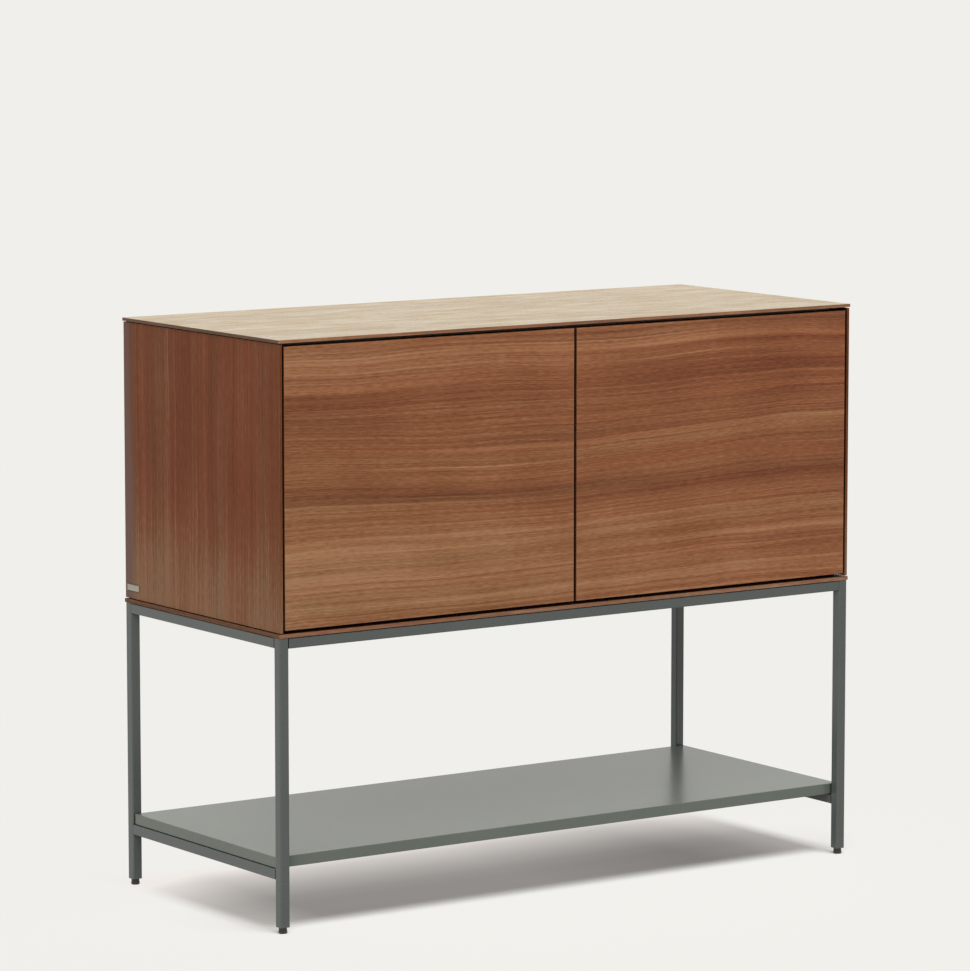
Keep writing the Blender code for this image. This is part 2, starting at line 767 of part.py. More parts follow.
def build_case():
    """The boards of the case."""
    top = cap_panel("top_panel", case_top, case_top - top_lip, top_inner_face, walnut_top)
    bottom = cap_panel("bottom_panel", case_bottom, case_bottom + bottom_lip, bottom_inner_face, walnut_side)
    screw_end = case_bottom + bottom_lip + seat_gap + case_screw_bite
    for side, label in ((-1, "left"), (1, "right")):
        panel = side_panel(side, label)
        bore_pin_holes(panel, across(side, side_inner_face), -side)
        bore_for_case_screws(panel, side, case_bottom, screw_end + seat_gap)
        bore_for_case_screws(bottom, side, case_bottom - overcut, case_bottom + bottom_lip + overcut)
    divider = block("centre_divider", (-divider_thickness / 2, divider_thickness / 2),
                    (behind(door_rebate_depth), behind(back_inner_face)),
                    (bottom_inner_face + seat_gap, top_inner_face - seat_gap), walnut_inside, board_arris)
    for side in (-1, 1):
        bore_pin_holes(divider, side * divider_thickness / 2, side)
    back_across = side_setback + back_side_lip + seat_gap
    block("back_panel", (across(-1, back_across), across(1, back_across)),
          (behind(back_inner_face + seat_gap), behind(back_inner_face + seat_gap + back_thickness)),
          (case_bottom + bottom_lip + seat_gap, case_top - top_lip - seat_gap), walnut_inside, board_arris)
    return top


def build_doors():
    """The doors, their hinges, and the latches that they press."""
    for side, label in ((-1, "left"), (1, "right")):
        inner_shelf(side, label)
        axis_place = Vector((across(side, pivot_across), behind(hinge_pivot_depth), door_low))
        carrier = pivot(f"{label}_door_axis", axis_place)
        carry(carrier, door(side, label), strike_plate(side, label))
        for level, height in hinge_levels.items():
            name = f"{label}_{level}_hinge"
            carry(carrier, hinge_cup(side, name + "_cup", height))
            hinge_arm(side, name + "_arm", height)
            hinge_plate(side, name + "_plate", height)
            hinge_pin(side, name + "_pin", height)
        latch(side, label)


def build_frame():
    """The welded frame, its feet, the steel shelf and the screws under the case."""
    rail_level = frame_height - tube_size / 2
    bar_level = lower_bar_top - tube_size / 2
    long_rail = case_width - 2 * (leg_inner_face + seat_gap)
    short_rail = case_depth - 2 * (leg_inner_face + seat_gap)
    access_radius = case_screw_head_radius + case_screw_access_play
    for side, label in ((-1, "left"), (1, "right")):
        centre = across(side, leg_centre_across)
        rail = tube(f"{label}_top_rail", short_rail, (centre, 0, rail_level), (0, 1, 0))
        bore_for_case_screws(rail, side, rail_level, frame_height + overcut)
        bore_for_case_screws(rail, side, frame_height - tube_size - overcut, rail_level, access_radius)
        tube(f"{label}_lower_bar", short_rail, (centre, 0, bar_level), (0, 1, 0))
        for front, end in ((-1, "front"), (1, "back")):
            leg(side, front, f"{label}_{end}_leg")
            foot(side, front, f"{label}_{end}_foot")
            case_screw(side, front, f"{label}_{end}_case_screw")
    for front, end in ((-1, "front"), (1, "back")):
        rail_place = (0, front * (case_depth / 2 - leg_centre_across), rail_level)
        tube(f"{end}_top_rail", long_rail, rail_place, (1, 0, 0))
    steel_shelf()


build_case()
build_doors()
build_frame()
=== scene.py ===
"""The looks of a two-door walnut sideboard on a painted steel frame.

Finishes come first, then small fittings, light and camera.
"""

import json
import math

import bmesh
import bpy
from mathutils import Matrix, Vector


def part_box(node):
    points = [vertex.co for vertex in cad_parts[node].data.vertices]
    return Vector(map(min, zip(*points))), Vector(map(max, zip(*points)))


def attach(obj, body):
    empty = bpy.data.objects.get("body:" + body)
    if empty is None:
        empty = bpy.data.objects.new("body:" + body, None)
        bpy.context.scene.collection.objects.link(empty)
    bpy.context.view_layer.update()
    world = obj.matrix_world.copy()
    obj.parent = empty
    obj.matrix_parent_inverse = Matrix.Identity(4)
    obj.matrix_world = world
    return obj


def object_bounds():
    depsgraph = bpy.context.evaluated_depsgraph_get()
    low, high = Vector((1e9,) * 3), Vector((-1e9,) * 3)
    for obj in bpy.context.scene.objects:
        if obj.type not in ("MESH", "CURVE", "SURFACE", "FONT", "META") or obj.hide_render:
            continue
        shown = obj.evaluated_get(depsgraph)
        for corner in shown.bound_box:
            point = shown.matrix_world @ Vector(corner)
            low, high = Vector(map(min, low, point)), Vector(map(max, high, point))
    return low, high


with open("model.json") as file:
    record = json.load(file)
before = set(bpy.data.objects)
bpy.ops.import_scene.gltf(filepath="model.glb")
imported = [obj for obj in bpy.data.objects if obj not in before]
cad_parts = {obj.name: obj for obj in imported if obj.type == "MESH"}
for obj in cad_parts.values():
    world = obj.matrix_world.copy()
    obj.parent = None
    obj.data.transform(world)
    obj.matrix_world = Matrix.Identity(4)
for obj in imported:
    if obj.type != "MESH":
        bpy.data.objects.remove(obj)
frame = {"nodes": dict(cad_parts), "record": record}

cad_low, cad_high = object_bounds()
door_low, door_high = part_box("left_door")
right_door_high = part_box("right_door")[1]
side_low, side_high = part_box("left_side_panel")

# Camera, fitted to the photograph's main edges
photo_height = 971
focal_length_in_pixels = 4891.0
sensor_width = 36.0
camera_place = (-4.036, -5.851, 1.468)
camera_yaw = 34.517
camera_pitch = 7.194

# Light: a level of pi on a face square to a lamp shows that face's colour as it is written
sky_level = 1.55
sky_spread = 180
key_level = 2.60
key_from = (-0.56, -0.55, 0.62)
key_spread = 50
fill_level = 0.80
fill_from = (0.55, 0.60, 0.58)
fill_spread = 90
floor_light_level = 3.31
floor_light_from = (-0.02, -0.34, 1.0)
floor_light_spread = 30
floor_bounce = (0.50, 0.50, 0.50)
floor_reach = 200.0

# Colours
black = (0.0, 0.0, 0.0)
pale = (0.871, 0.863, 0.831)
shadow_tint = (1.0, 0.95, 0.945)
# Painted shade: the colour that multiplies a surface deep in its crevices and narrow gaps
painted_crevice_shade = (0.07, 0.06, 0.055)
walnut_tones = [(0.0, (0.112, 0.028, 0.006)), (0.5, (0.236, 0.084, 0.030)), (1.0, (0.372, 0.178, 0.083))]
side_tones = [(0.0, (0.112, 0.029, 0.008)), (0.5, (0.154, 0.051, 0.020)), (1.0, (0.219, 0.108, 0.056))]
lip_tones = [(0.0, (0.130, 0.045, 0.020)), (0.5, (0.230, 0.102, 0.055)), (1.0, (0.350, 0.185, 0.110))]
walnut_reddish = (1.08, 0.93, 0.91)
walnut_olive = (0.92, 1.05, 1.05)
pore_shade = (0.45, 0.40, 0.38)
worn_walnut = (0.42, 0.21, 0.105)
side_mauve = (0.133, 0.076, 0.062)
board_end_shade = (0.6, 0.6, 0.6)
top_end_shade = (0.26, 0.11, 0.08)
frame_grey = (0.069, 0.078, 0.070)
# The shelf's paint is a lighter copy of the frame's: painted light, for the low shelf that shows brighter
# than the frame
shelf_grey_with_painted_light = (0.102, 0.118, 0.096)
plated_steel = (0.56, 0.55, 0.53)
dull_steel = (0.42, 0.42, 0.42)
brushed_steel = (0.40, 0.37, 0.32)
latch_grey = (0.070, 0.070, 0.072)
plunger_white = (0.60, 0.60, 0.59)
foot_black = (0.020, 0.020, 0.021)

# Layers of the veneer's figure: how often each repeats in a metre, along the grain and across it
slow_wave = (1.3, 3.0)
quick_wave = (4.0, 8.0)
streak_rate = (0.9, 70.0)
strand_rate = (1.3, 260.0)
dash_rate = (75.0, 600.0)
cloud_rate = (9.0, 11.0)
plain_band_rate = (0.8, 14.0)
hair_rate = (1.1, 190.0)
pore_rate = (70.0, 2300.0)
mottle_rate = (14.0, 50.0)

# How far the grain wanders, and how much each layer changes the tone, the redness or the colour
slow_wander = 0.005
quick_wander = 0.004
dash_strength = 0.18
cloud_strength = 0.09
plain_band_strength = 0.22
hair_strength = 0.30
red_strength = 0.75
pore_strength = 0.45
wear_strength = 0.35

# Roughness that pores and the ends of a board add, and that worn edges take away
pore_roughness = 0.15
end_roughness = 0.6
wear_polish = 0.08

# Where noise counts as a hair or a pore, and where a turn of the surface counts as an edge
hair_from, hair_full = 0.66, 0.76
pore_from, pore_full = 0.62, 0.72
edge_from, edge_full = 0.02, 0.25

# Painted shade in crevices: how open a crevice is where this painted shade is darkest and where it ends, and
# how far away its other side may be
crevice_darkest, crevice_end = 0.38, 0.82
painted_crevice_shade_reach = 0.010
powder_coat_painted_shade_reach = 0.005

# How often the noise of paint, metal and plastic repeats in a metre
paint_cloud_rate = 9.0
paint_speckle_rate = 1500.0
paint_peel_rate = 700.0
scratch_rate_along = 60.0
scratch_rate_across = 3500.0
smear_rate = 130.0
plastic_grain_rate = 2600.0
plastic_cloud_rate = 60.0

# How far from an edge each finish is worn, and how deep its relief is
veneer_wear = 0.0008
veneer_relief = 0.00006
paint_wear = 0.0010
paint_relief = 0.00003
metal_wear = 0.0004
metal_relief = 0.00001
plastic_wear = 0.0005
plastic_relief = 0.00003

# Shifts along the grain, so that each kind of board has another stretch of the figure
side_shift = 2.0
lip_shift = 3.5
top_shift = 5.0
inside_shift = 8.0
upright_shift = 11.0


class Finish:
    """A node material: one Principled surface and the nodes that drive it."""

    def __init__(self, name, constants=None):
        self.material = bpy.data.materials.new(name)
        self.material.use_nodes = True
        self.nodes = self.material.node_tree.nodes
        self.links = self.material.node_tree.links
        self.surface = self.nodes["Principled BSDF"]
        for socket, value in (constants or {}).items():
            self.surface.inputs[socket].default_value = value
        self.places = self.node("TexCoord")

    def node(self, kind, *values, **settings):
        """A new node, with its inputs in order; a value is a number, a colour or another node's output."""
        made = self.nodes.new("ShaderNode" + kind)
        for name, value in settings.items():
            setattr(made, name, value)
        for place, value in enumerate(values):
            self.feed(made.inputs[place], value)
        return made

    def feed(self, socket, value):
        if isinstance(value, bpy.types.NodeSocket):
            self.links.new(value, socket)
        else:
            socket.default_value = value

    def set(self, socket, value):
        """Drives one of the surface's inputs."""
        self.feed(self.surface.inputs[socket], value)

    def math(self, operation, *values, clamp=False):
        return self.node("Math", *values, operation=operation, use_clamp=clamp).outputs[0]

    def add(self, total, *others):
        for other in others:
            total = self.math("ADD", total, other)
        return total

    def subtract(self, first, second, clamp=False):
        return self.math("SUBTRACT", first, second, clamp=clamp)

    def multiply(self, first, second):
        return self.math("MULTIPLY", first, second)

    def stretch(self, value, low, high, to_low=0.0, to_high=1.0, smooth=False):
        """Maps the range from low to high onto another, with clamped ends."""
        kind = "SMOOTHSTEP" if smooth else "LINEAR"
        return self.node("MapRange", value, low, high, to_low, to_high, interpolation_type=kind).outputs[0]

    def vector(self, x, y, z):
        return self.node("CombineXYZ", x, y, z).outputs[0]

    def noise(self, place, detail=2.0, roughness=0.5, scale=1.0):
        made = self.node("TexNoise")
        self.feed(made.inputs["Vector"], place)
        self.feed(made.inputs["Scale"], scale)
        self.feed(made.inputs["Detail"], detail)
        self.feed(made.inputs["Roughness"], roughness)
        return made.outputs["Fac"]

    def spread(self, noise, low, high):
        """Noise spread out from one tone to another, from the range where most of it lies."""
        return self.stretch(noise, 0.3, 0.7, low, high)

    def swing(self, place, amount, detail=2.0, roughness=0.5):
        """Noise that swings about zero, by up to about the given amount each way."""
        return self.stretch(self.noise(place, detail, roughness), 0.25, 0.75, -amount, amount)

    def ramp(self, value, stops):
        """A colour or tone that changes with value, by its stops (place, colour or tone)."""
        made = self.node("ValToRGB", value)
        points = made.color_ramp.elements
        for index, (place, tone) in enumerate(stops):
            point = points[index] if index < 2 else points.new(place)
            point.position = place
            point.color = (*tone, 1.0) if isinstance(tone, tuple) else (tone, tone, tone, 1.0)
        return made.outputs[0]

    def blend(self, factor, first, second, way="MIX"):
        """A mix of two colours."""
        made = self.node("Mix", data_type="RGBA", blend_type=way)
        self.feed(made.inputs[0], factor)
        for socket, value in ((made.inputs[6], first), (made.inputs[7], second)):
            self.feed(socket, (*value, 1.0) if isinstance(value, tuple) else value)
        return made.outputs[2]

    def choose(self, factor, first, second):
        """A mix of two numbers."""
        made = self.node("Mix")
        for socket, value in zip(made.inputs[:1] + made.inputs[2:4], (factor, first, second)):
            self.feed(socket, value)
        return made.outputs[0]

    def bump(self, height, depth, strength):
        made = self.node("Bump")
        self.feed(made.inputs["Strength"], strength)
        self.feed(made.inputs["Distance"], depth)
        self.feed(made.inputs["Height"], height)
        self.set("Normal", made.outputs[0])

    def edges(self, radius):
        """One where the surface turns sharply, zero on its flats."""
        soft = self.node("Bevel", samples=4)
        self.feed(soft.inputs["Radius"], radius)
        flat = self.node("NewGeometry").outputs["Normal"]
        likeness = self.node("VectorMath", soft.outputs[0], flat, operation="DOT_PRODUCT").outputs["Value"]
        return self.stretch(self.subtract(1.0, likeness), edge_from, edge_full)

    def crevices(self, reach):
        """One deep in narrow gaps and zero in the open: the mask of the painted shade, found by ambient
        occlusion.
        """
        openness = self.node("AmbientOcclusion", samples=4)
        self.feed(openness.inputs["Distance"], reach)
        return self.stretch(openness.outputs["AO"], crevice_darkest, crevice_end, 1.0, 0.0)

    def set_colour_with_painted_shade(self, colour, reach):
        """The surface's colour, with painted shade that darkens it in its crevices."""
        self.set("Base Color", self.blend(self.crevices(reach), colour, painted_crevice_shade, "MULTIPLY"))


def shaded(colour, times, plus=0.0):
    """A colour made lighter or darker, and never more than white."""
    return tuple(min(1.0, value * times + plus) for value in colour)


def veneer(name, along, across, tones, sag=None, bands=None, shift=0.0, lines=0.35, figure=0.19,
           red_rate=34.0, gloss=(0.50, 0.42), mottle=0.0, end_shade=board_end_shade, haze=None,
           constants=None):
    """Walnut veneer whose grain runs along one axis; on the ends of a board it turns to run round the edge.

    bands gives the tone and the redness that the figure has across the grain, sag is a slow drift of it,
    and haze says where the veneer turns mauve. lines and figure are the strength of its thin and broad
    lines, gloss is the roughness of its dark and light lines, and mottle is how unevenly it shines.
    """
    made = Finish(name, constants)
    deep = next(axis for axis in "XYZ" if axis not in (along, across))
    place = made.node("SeparateXYZ", made.places.outputs["Object"])
    facing = made.node("SeparateXYZ", made.places.outputs["Normal"])
    on_end = made.math("GREATER_THAN", made.math("ABSOLUTE", facing.outputs[along]), 0.7)
    length = made.add(made.choose(on_end, place.outputs[along], place.outputs[across]), shift)
    width = made.choose(on_end, place.outputs[across], place.outputs[deep])
    depth = made.choose(on_end, place.outputs[deep], place.outputs[along])

    def stretched(grain, cross):
        """The place with its length and width scaled, so that noise there is drawn out along the grain."""
        return made.vector(made.multiply(length, grain), made.multiply(width, cross),
                           made.multiply(depth, cross))

    slow = made.swing(stretched(*slow_wave), slow_wander, detail=1.0)
    quick = made.swing(stretched(*quick_wave), quick_wander, detail=1.0)
    width = made.add(width, slow, quick)
    if sag:
        width = made.add(width, sag(made, length, width))

    streaks = made.swing(stretched(*streak_rate), figure, detail=3.0, roughness=0.6)
    strands = made.swing(stretched(*strand_rate), lines, detail=4.0, roughness=0.72)
    dashes = made.swing(stretched(*dash_rate), dash_strength, detail=1.0)
    clouds = made.swing(stretched(*cloud_rate), cloud_strength)
    hairs = made.stretch(made.noise(stretched(*hair_rate), detail=1.0), hair_from, hair_full)
    redness = made.swing(stretched(1.0, red_rate), red_strength, detail=3.0, roughness=0.6)
    if bands:
        band_tone, band_redness = bands(made, length, width)
        redness = made.add(redness, band_redness)
    else:
        band_tone = made.add(made.swing(stretched(*plain_band_rate), plain_band_strength), 0.5)
    tone = made.add(streaks, strands, dashes, clouds, band_tone, made.multiply(hairs, hair_strength))
    colour = made.ramp(tone, tones)

    colour = made.blend(made.stretch(redness, 0.0, 1.0), colour, walnut_reddish, "MULTIPLY")
    colour = made.blend(made.stretch(redness, 0.0, -1.0), colour, walnut_olive, "MULTIPLY")
    pores = made.stretch(made.noise(stretched(*pore_rate), detail=1.0), pore_from, pore_full)
    colour = made.blend(made.multiply(pores, pore_strength), colour, pore_shade, "MULTIPLY")
    worn = made.edges(veneer_wear)
    colour = made.blend(made.multiply(worn, wear_strength), colour, worn_walnut)
    colour = made.blend(on_end, colour, end_shade, "MULTIPLY")
    if haze:
        colour = made.blend(haze(made, width), colour, side_mauve)
    # Painted shade darkens the veneer in its crevices and narrow gaps
    made.set_colour_with_painted_shade(colour, painted_crevice_shade_reach)

    grip = made.add(made.stretch(strands, -lines, lines, *gloss), made.multiply(pores, pore_roughness))
    if mottle:
        grip = made.add(grip, made.swing(stretched(*mottle_rate), mottle, detail=3.0, roughness=0.6))
    grip = made.add(grip, made.multiply(on_end, end_roughness))
    made.set("Roughness", made.subtract(grip, made.multiply(worn, wear_polish), clamp=True))
    made.bump(made.subtract(made.multiply(strands, 0.25), pores), veneer_relief, 0.6)
    return made.material


def door_sag(made, length, width):
    """The grain on the doors hangs lowest near the middle, most of all a fifth of a metre below the top."""
    lowest_at = -0.03
    half_span = 0.42
    most = 0.013
    out = made.math("DIVIDE", made.subtract(length, lowest_at), half_span)
    hang = made.subtract(1.0, made.multiply(out, out), clamp=True)
    below = made.subtract(door_high.z, width)
    starting = made.stretch(below, 0.08, 0.17, smooth=True)
    ending = made.stretch(below, 0.21, 0.30, 1.0, 0.25, smooth=True)
    return made.multiply(made.multiply(hang, made.multiply(starting, ending)), most)


# The tone of the doors' broad bands at each end of the front, by millimetres below the top edge
left_end_bands = [
    (0, 0.60), (38, 0.66), (50, 0.56), (69, 0.72), (72, 0.24), (100, 0.34), (140, 0.53), (175, 0.42),
    (222, 0.24), (226, 0.76), (240, 0.54), (270, 0.70), (286, 0.86), (296, 0.72), (325, 0.80), (392, 0.56),
]
right_end_bands = [
    (0, 0.30), (30, 0.46), (62, 0.40), (67, 0.16), (71, 0.44), (76, 0.20), (84, 0.40), (120, 0.30),
    (140, 0.50), (180, 0.52), (235, 0.28), (262, 0.48), (318, 0.64), (328, 0.34), (352, 0.54), (392, 0.56),
]

# The redness of the doors' bands, by the share of their height below the top edge; how much more there is at
# the right end; the redness at which the veneer is neither reddish nor olive; and the contrast about it
door_redness = [(0.0, 0.52), (0.12, 0.74), (0.25, 0.68), (0.40, 0.38), (0.65, 0.46), (0.80, 0.29)]
door_redder_to_the_right = 0.35
door_redness_even = 0.65625
door_redness_contrast = 1.6


def door_bands(made, length, width):
    """The broad bands of the doors' figure, from the top edge down: one run for each end of the front."""
    span = door_high.z - door_low.z
    below = made.math("DIVIDE", made.subtract(door_high.z, width), span)
    left, right = (made.ramp(below, [(millimetres / 1000 / span, tone) for millimetres, tone in bands])
                   for bands in (left_end_bands, right_end_bands))
    left_end = door_low.x * 0.90
    right_end = right_door_high.x * 0.85
    turn = made.stretch(length, left_end, right_end)
    redness = made.add(made.ramp(below, door_redness), made.multiply(turn, door_redder_to_the_right))
    redness = made.multiply(made.subtract(redness, door_redness_even), door_redness_contrast)
    return made.choose(turn, left, right), redness


# How often the sides' stripes repeat in a metre, and how much they change the tone and the redness
side_stripe_rate = 17.0
side_stripe_tone = 0.29
side_stripe_redness = 1.1

# The sides' tone and redness near their upper edge, and how much lighter and less red they are painted
# towards their lower edge, as painted light bounced up from the floor
side_tone = 0.34
painted_bounce_lighter_below = 0.56
side_redness = 0.25
painted_bounce_less_red_below = 0.7

# The width and strength of the mauve haze along the sides' back edge
haze_reach = 0.030
haze_strength = 0.9


def side_bands(made, length, width):
    """Upright stripes; towards their lower edge the sides are painted a little lighter and less red, as
    painted light bounced up from the floor.
    """
    middle = (side_low.z + side_high.z) / 2
    lower = made.stretch(made.subtract(length, side_shift), side_low.z, middle, 1.0, 0.0, smooth=True)
    across = made.multiply(width, side_stripe_rate)
    stripes = made.swing(made.vector(made.multiply(length, 0.7), across, 0.0), side_stripe_tone)
    reds = made.swing(made.vector(made.multiply(length, 0.9), across, 3.0), side_stripe_redness)
    # Painted light: lighter and less red towards the lower edge, as the floor's bounce would make them
    tone = made.add(made.multiply(lower, painted_bounce_lighter_below), stripes, side_tone)
    redness = made.subtract(side_redness, made.multiply(lower, painted_bounce_less_red_below))
    return tone, made.add(redness, reds)


def back_haze(made, width):
    """The sides turn mauve along their back edge."""
    return made.stretch(width, side_high.y - haze_reach, side_high.y, 0.0, haze_strength, smooth=True)


def painted(name, colour):
    """Powder-coated steel: fine orange peel, slightly uneven colour, lighter where the edges are rubbed."""
    made = Finish(name)
    place = made.places.outputs["Object"]
    uneven = made.noise(place, detail=3.0, scale=paint_cloud_rate)
    speckle = made.noise(place, scale=paint_speckle_rate)
    peel = made.noise(place, scale=paint_peel_rate)
    tone = made.add(made.spread(uneven, 0.46, 0.54), made.spread(speckle, -0.10, 0.10))
    shade = made.ramp(tone, [(0.0, shaded(colour, 0.5)), (0.5, colour), (1.0, shaded(colour, 1.6))])
    worn = made.edges(paint_wear)
    rubbed = made.multiply(worn, made.stretch(uneven, 0.35, 0.7, 0.15, 0.6))
    # Painted shade darkens the paint in its crevices and narrow gaps
    made.set_colour_with_painted_shade(made.blend(rubbed, shade, shaded(colour, 1.9)), powder_coat_painted_shade_reach)
    made.set("Roughness", made.subtract(made.spread(speckle, 0.21, 0.31), made.multiply(worn, 0.1)))
    made.bump(peel, paint_relief, 0.4)
    return made.material


def bare_metal(name, colour, roughness, brushed_along="Z"):
    """Plated or brushed steel with fine scratches along one axis and polished edges."""
    made = Finish(name, {"Metallic": 1.0})
    place = made.node("SeparateXYZ", made.places.outputs["Object"])
    rates = [scratch_rate_along if axis == brushed_along else scratch_rate_across for axis in "XYZ"]
    scaled = [made.multiply(place.outputs[axis], rate) for axis, rate in zip("XYZ", rates)]
    scratches = made.noise(made.vector(*scaled))
    smears = made.noise(made.places.outputs["Object"], detail=3.0, scale=smear_rate)
    tone = made.add(made.spread(scratches, 0.32, 0.68), made.spread(smears, -0.12, 0.12))
    shade = made.ramp(tone, [(0.0, shaded(colour, 0.6)), (0.5, colour), (1.0, shaded(colour, 1.4))])
    polished = made.multiply(made.edges(metal_wear), 0.5)
    made.set("Base Color", made.blend(polished, shade, shaded(colour, 1.35)))
    grip = made.spread(scratches, roughness - 0.07, roughness + 0.07)
    made.set("Roughness", made.add(grip, made.stretch(smears, 0.35, 0.65, -0.04, 0.05)))
    made.bump(scratches, metal_relief, 0.4)
    return made.material


def moulded(name, colour, roughness):
    """Moulded plastic with a fine eroded grain and paler rubbed edges."""
    made = Finish(name)
    place = made.places.outputs["Object"]
    grain = made.noise(place, detail=3.0, scale=plastic_grain_rate)
    cloud = made.noise(place, scale=plastic_cloud_rate)
    tone = made.add(made.spread(grain, 0.30, 0.70), made.spread(cloud, -0.12, 0.12))
    shade = made.ramp(tone, [(0.0, shaded(colour, 0.7)), (1.0, shaded(colour, 1.3))])
    rubbed = made.multiply(made.edges(plastic_wear), 0.4)
    made.set("Base Color", made.blend(rubbed, shade, shaded(colour, 1.8, plus=0.01)))
    made.set("Roughness", made.spread(grain, roughness + 0.08, roughness - 0.06))
    made.bump(grain, plastic_relief, 0.6)
    return made.material


satin = {"Specular IOR Level": 0.3}
matt = {"Specular IOR Level": 0.08}
top_sheen = {"Sheen Weight": 0.50, "Sheen Roughness": 0.45, "Sheen Tint": (1.0, 0.92, 0.58, 1.0)}
finishes = {
    "walnut_doors": veneer("walnut_doors", "X", "Z", walnut_tones, door_sag, door_bands, constants=satin),
    "walnut_sides": veneer("walnut_sides", "Z", "Y", side_tones, bands=side_bands, shift=side_shift,
                           figure=0.15, red_rate=20.0, haze=back_haze, constants=matt),
    "walnut_top": veneer("walnut_top", "X", "Y", walnut_tones, shift=top_shift, lines=0.45, figure=0.30,
                         gloss=(0.36, 0.16), mottle=0.16, end_shade=top_end_shade, constants=top_sheen),
    "walnut_inside": veneer("walnut_inside", "X", "Y", walnut_tones, shift=inside_shift, constants=satin),
    "painted_steel": painted("painted_steel", frame_grey),
    "hinge_steel": bare_metal("hinge_steel", plated_steel, 0.30),
    "screw_steel": bare_metal("screw_steel", dull_steel, 0.36),
    "latch_plastic": moulded("latch_plastic", latch_grey, 0.50),
    "plunger_plastic": moulded("plunger_plastic", plunger_white, 0.45),
    "foot_plastic": moulded("foot_plastic", foot_black, 0.50),
}
upright_inside = veneer("walnut_upright_inside", "Z", "Y", walnut_tones, shift=upright_shift, constants=satin)
other_looks = {
    "centre_divider": upright_inside,
    "back_panel": upright_inside,
    "bottom_panel": veneer("walnut_lying", "X", "Y", lip_tones, shift=lip_shift, constants=satin),
    # A lighter copy of the frame's paint on the shelf: painted light
    "steel_shelf": painted("painted_sheet", shelf_grey_with_painted_light),
}

for part in frame["record"]["subparts"]:
    look = other_looks.get(part["node"], finishes[part["material_slot"]])
    for place in frame["nodes"][part["node"]].material_slots:
        place.material = look


def piece_from(name, mesh, look, body):
    """Puts a finished mesh in the scene as one piece of the object."""
    mesh.materials.append(look)
    mesh.shade_smooth()
    mesh.set_sharp_from_angle(angle=math.radians(35))
    piece = bpy.data.objects.new(name, mesh)
    bpy.context.scene.collection.objects.link(piece)
    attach(piece, body)


def loft(loops):
    """A closed mesh through rings of points, with a cap on each end ring."""
    shape = bmesh.new()
    rings = [[shape.verts.new(point) for point in points] for points in loops]
    for lower, upper in zip(rings, rings[1:]):
        if len(lower) == len(upper):
            for here in range(len(lower)):
                shape.faces.new((lower[here - 1], lower[here], upper[here], upper[here - 1]))
        else:
            sides = [shape.edges.get(pair) or shape.edges.new(pair)
                     for ring in (lower, upper) for pair in zip(ring, ring[1:] + ring[:1])]
            bmesh.ops.bridge_loops(shape, edges=sides)
    for ring in (rings[0], rings[-1]):
        shape.faces.new(ring)
    bmesh.ops.recalc_face_normals(shape, faces=shape.faces)
    mesh = bpy.data.meshes.new("loft")
    shape.to_mesh(mesh)
    shape.free()
    return mesh


def circle(radius, height, sides=24):
    turns = [2 * math.pi * side / sides for side in range(sides)]
    return [(radius * math.cos(turn), radius * math.sin(turn), height) for turn in turns]


def cross(reach, arm, height):
    """The outline of a cross recess: four arms of the given reach and half width."""
    quarter = [(reach, -arm), (reach, arm), (arm, arm)]
    points = []
    for cosine, sine in ((1, 0), (0, 1), (-1, 0), (0, -1)):
        points += [(cosine * x - sine * y, sine * x + cosine * y, height) for x, y in quarter]
    return points


def rounded_plan(width, height, radius, level, steps=6):
    """A rectangle with round corners, as a ring of points at the given level."""
    points = []
    for turn, (sx, sy) in enumerate(((1, 1), (-1, 1), (-1, -1), (1, -1))):
        for step in range(steps + 1):
            angle = math.pi / 2 * (turn + step / steps)
            points.append((sx * (width / 2 - radius) + radius * math.cos(angle),
                           sy * (height / 2 - radius) + radius * math.sin(angle), level))
    return points


# The bare plate low on the left side, near the back edge
plate_length = 0.0325
plate_height = 0.0090
plate_thickness = 0.0012
plate_corner = 0.0007
plate_rim = 0.0006
plate_sunk = 0.00025
plate_from_back = 0.0222
plate_from_bottom = 0.0170


def side_plate():
    """A thin brushed plate with a narrow raised rim."""
    profile = [
        (0.0, 0.0),
        (0.0, plate_thickness * 0.75),
        (plate_rim / 2, plate_thickness),
        (plate_rim * 2, plate_thickness),
        (plate_rim * 2.4, plate_thickness - plate_sunk),
    ]
    mesh = loft([rounded_plan(plate_length - inset, plate_height - inset, plate_corner, level)
                 for inset, level in profile])
    turned = Matrix(((0, 0, -1), (-1, 0, 0), (0, 1, 0))).to_4x4()
    at = Vector((side_low.x, side_high.y - plate_from_back, side_low.z + plate_from_bottom))
    mesh.transform(Matrix.Translation(at) @ turned)
    look = bare_metal("brushed_plate", brushed_steel, 0.40, brushed_along="Y")
    piece_from("side_plate", mesh, look, "case_and_frame")


side_plate()

# Screws of the hinges and latches: how far apart the two of a pair are, their radius, and how far what they
# hold stands out from the panel or hangs below the housing's top
cup_screw_spread = 0.048
cup_screw_radius = 0.0034
hinge_plate_rise = 0.0033
hinge_plate_screw_spread = 0.032
hinge_plate_screw_radius = 0.0033
hinge_arm_rise = 0.0126
hinge_arm_screw_spread = 0.030
hinge_arm_screw_radius = 0.0030
latch_plate_rise = 0.0023
latch_screw_spread = 0.020
latch_screw_radius = 0.0022


def screw_head(name, radius, at, facing, body):
    """A low domed screw head with a cross recess, seated on the face that it holds."""
    rise = radius * 0.36
    mesh = loft([
        circle(radius, 0.0),
        circle(radius, rise * 0.30),
        circle(radius * 0.86, rise * 0.72),
        circle(radius * 0.66, rise),
        cross(radius * 0.56, radius * 0.13, rise),
        cross(radius * 0.48, radius * 0.10, rise * 0.12),
    ])
    mesh.transform(Matrix.Translation(at) @ Vector(facing).to_track_quat("Z", "Y").to_matrix().to_4x4())
    piece_from(name, mesh, finishes["screw_steel"], body)


def middle_of(node):
    low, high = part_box(node)
    return (low + high) / 2


